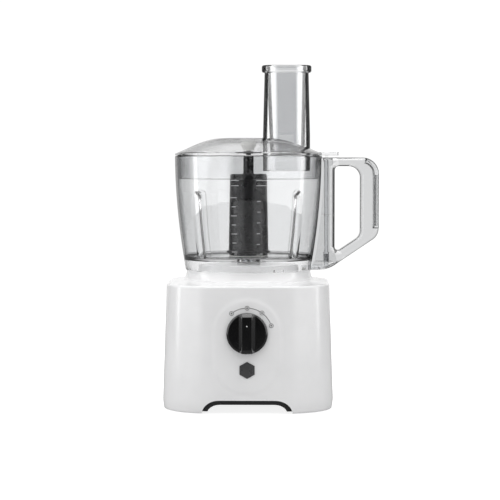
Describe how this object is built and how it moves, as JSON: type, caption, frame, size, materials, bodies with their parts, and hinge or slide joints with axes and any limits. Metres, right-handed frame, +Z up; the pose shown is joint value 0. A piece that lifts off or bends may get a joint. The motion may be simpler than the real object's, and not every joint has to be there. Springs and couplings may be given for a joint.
{
  "type": "food processor",
  "caption": "Compact food processor: white motor base with rotary knob, clear bowl with handle, drive spindle, locking lid with feed tube, and pusher",
  "frame": {"origin": "on the worktop, on the axis of the drive shaft", "axes": "+Z up along the drive shaft, -Y towards the control knob, +X towards the bowl's handle"},
  "size_m": [0.2585, 0.2144, 0.4096],
  "materials": {
    "white_shell": "high gloss",
    "black_tray": "fine texture",
    "gloss_black": "high gloss",
    "spindle_black": "satin gloss",
    "clear_plastic": "polished, clear",
    "rubber": "matt",
    "steel": "turned",
    "zinc_steel": "plated",
    "laminations": "stacked sheet",
    "aluminium": "die cast",
    "bronze": "sintered",
    "copper": "enamelled wire",
    "carbon": "pressed graphite",
    "spring_steel": "drawn wire",
    "acetal": "natural acetal",
    "switch_cream": "moulded",
    "circuit_green": "solder mask",
    "component": "moulded",
    "print_grey": "screen print",
    "print_silver": "screen print",
    "print_white": "screen print",
    "badge_grey": "satin"
  },
  "bodies": {
    "base": {"housing": "white_shell", "base_plate": "black_tray", "rubber_feet": "rubber", "base_screws": "zinc_steel", "stator": "laminations", "field_coils": "copper", "lower_motor_bracket": "aluminium", "upper_motor_bracket": "aluminium", "motor_bushes": "bronze", "brush_holders": "black_tray", "carbon_brushes": "carbon", "brush_springs": "spring_steel", "motor_bolts": "zinc_steel", "motor_grommets": "rubber", "motor_mount_screws": "zinc_steel", "drive_belt": "rubber", "lower_bearing": "steel", "upper_bearing": "steel", "shaft_seal": "rubber", "rotary_switch": "switch_cream", "switch_nut": "zinc_steel", "circuit_board": "circuit_green", "board_parts": "component", "terminal_block": "switch_cream", "cord_gland": "rubber", "interlock_bracket": "zinc_steel", "microswitch": "black_tray", "dial_marks": "print_grey", "front_badge": "badge_grey", "plunger_spring": "spring_steel"},
    "knob": {"knob": "gloss_black", "knob_pointer": "print_white", "knob_shaft": "bronze"},
    "output": {"drive_pulley": "acetal", "output_shaft": "steel", "pulley_circlip": "spring_steel"},
    "rotor": {"rotor_core": "laminations", "rotor_windings": "copper", "commutator": "copper", "rotor_shaft": "steel", "motor_pulley": "aluminium", "cooling_fan": "black_tray"},
    "plunger": {"interlock_plunger": "acetal"},
    "washer": {"thrust_washer": "acetal"},
    "bowl": {"bowl": "clear_plastic", "bowl_graduations": "print_silver", "bowl_handle": "clear_plastic", "handle_cover": "clear_plastic", "rod_spring": "spring_steel"},
    "spindle": {"drive_spindle": "spindle_black"},
    "rod": {"interlock_rod": "clear_plastic"},
    "bushing": {"lid_bushing": "acetal"},
    "lid": {"lid": "clear_plastic", "feed_tube": "clear_plastic"},
    "pusher": {"pusher": "clear_plastic"}
  },
  "joints": [
    {"name": "knob_turn", "type": "hinge", "parent": "base", "child": "knob", "pos_m": [0, -0.09421, 0.0947], "axis": [0, 0.9994, -0.0337], "range_deg": [-38, 72]},
    {"name": "output_spin", "type": "hinge", "parent": "base", "child": "output", "pos_m": [0, 0, 0.1], "axis": [0, 0, 1], "continuous": true},
    {"name": "rotor_spin", "type": "hinge", "parent": "base", "child": "rotor", "pos_m": [-0.056, 0, 0.08], "axis": [0, 0, 1], "continuous": true},
    {"name": "plunger_slide", "type": "slide", "parent": "base", "child": "plunger", "axis": [0, 0, 1], "range_m": [0, 0.0025], "deforming": ["plunger_spring"]},
    {"name": "bowl_lift", "type": "slide", "parent": "base", "child": "washer", "axis": [0, 0, 1], "range_m": [0, 0.08]},
    {"name": "bowl_turn", "type": "hinge", "parent": "washer", "child": "bowl", "pos_m": [0, 0, 0.17], "axis": [0, 0, 1], "range_deg": [0, 28]},
    {"name": "spindle_spin", "type": "hinge", "parent": "washer", "child": "spindle", "pos_m": [0, 0, 0.25], "axis": [0, 0, 1], "continuous": true},
    {"name": "rod_slide", "type": "slide", "parent": "bowl", "child": "rod", "axis": [0, 0, 1], "range_m": [0, 0.0025], "deforming": ["rod_spring"]},
    {"name": "lid_lift", "type": "slide", "parent": "bowl", "child": "bushing", "axis": [0, 0, 1], "range_m": [0, 0.06]},
    {"name": "lid_turn", "type": "hinge", "parent": "bushing", "child": "lid", "pos_m": [0, 0, 0.31], "axis": [0, 0, 1], "range_deg": [0, 25]},
    {"name": "pusher_lift", "type": "slide", "parent": "lid", "child": "pusher", "axis": [0, 0, 1], "range_m": [0, 0.09]}
  ],
  "couplings": [
    {"joint": "rotor_spin", "follows": "output_spin", "ratio": 5.375},
    {"joint": "spindle_spin", "follows": "output_spin", "ratio": 1},
    {"joint": "rod_slide", "follows": "lid_turn", "m_per_rad": 0.005729},
    {"joint": "plunger_slide", "follows": "lid_turn", "m_per_rad": 0.005729}
  ]
}
